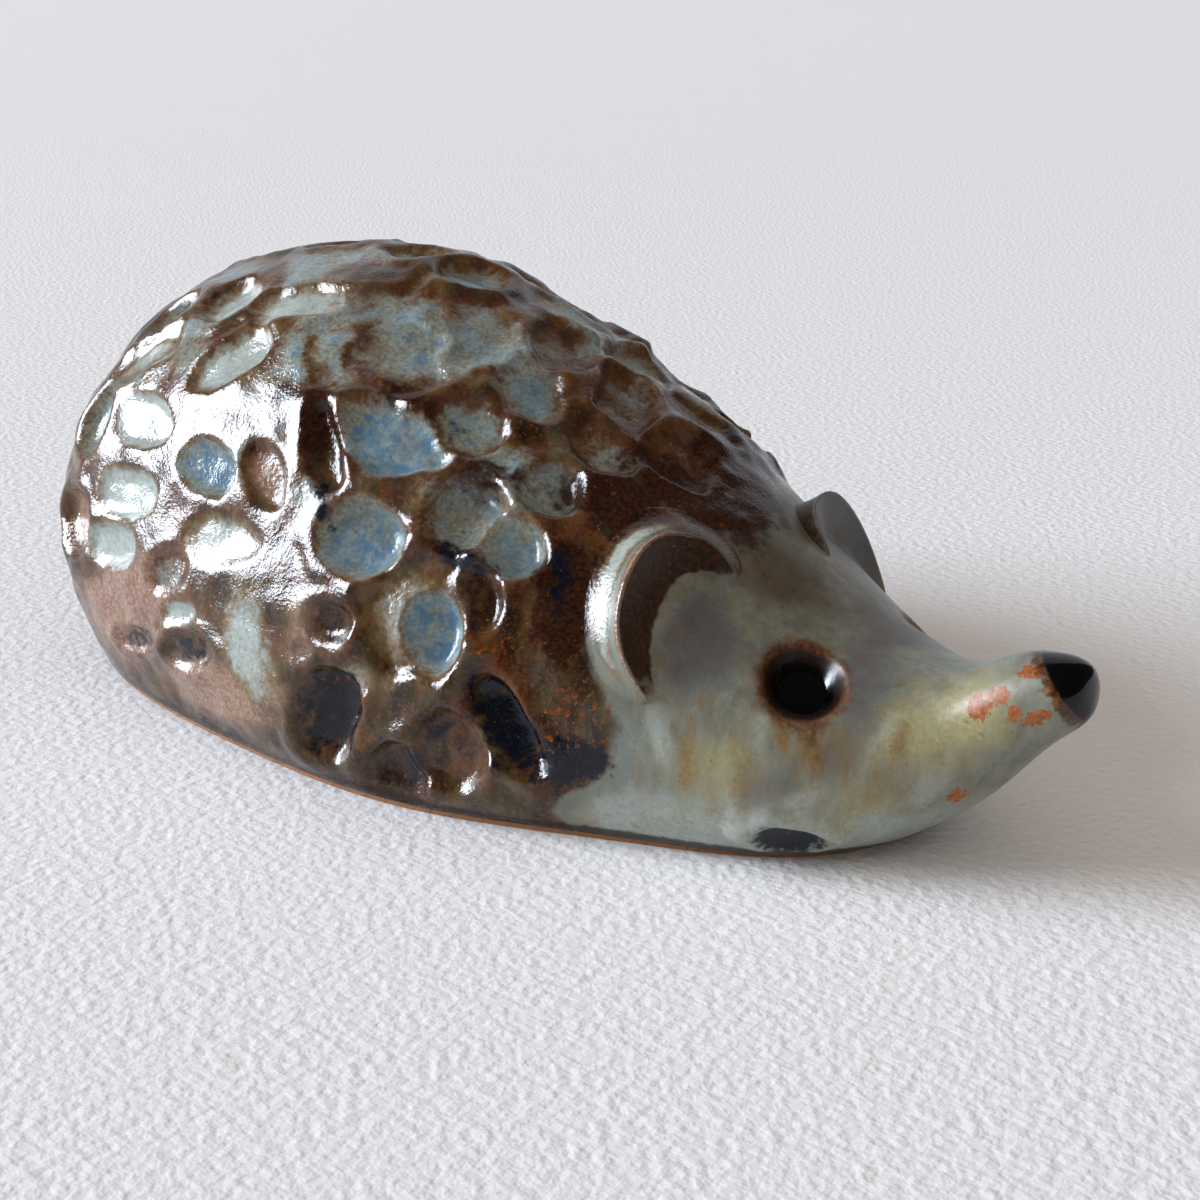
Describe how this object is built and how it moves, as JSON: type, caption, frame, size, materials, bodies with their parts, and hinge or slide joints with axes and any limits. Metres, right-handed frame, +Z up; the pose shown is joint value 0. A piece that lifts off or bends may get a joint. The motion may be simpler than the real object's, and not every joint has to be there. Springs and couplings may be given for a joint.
{
  "type": "hedgehog figurine",
  "caption": "Hand-built hollow stoneware hedgehog ornament with a pressed, glazed back, crescent ears and an upturned snout, standing on a flat foot.",
  "frame": {"origin": "on the plane of the foot, under the middle of the figurine's length and width", "axes": "+X from the tail to the nose, +Y to the animal's left side, +Z up"},
  "size_m": [0.095, 0.05, 0.0379],
  "materials": {
    "glazed_body": "glossy iron-brown and pale blue running glaze over stoneware",
    "bare_clay": "bare fired stoneware, toasted orange-brown",
    "glazed_ear": "glossy glaze, pale on the rim and dark brown inside",
    "black_glaze": "glossy black glaze"
  },
  "bodies": {
    "root": {"body_shell": "glazed_body", "base_slab": "bare_clay", "right_ear": "glazed_ear", "left_ear": "glazed_ear", "right_eye": "black_glaze", "left_eye": "black_glaze", "nose_tip": "black_glaze"}
  },
  "joints": []
}
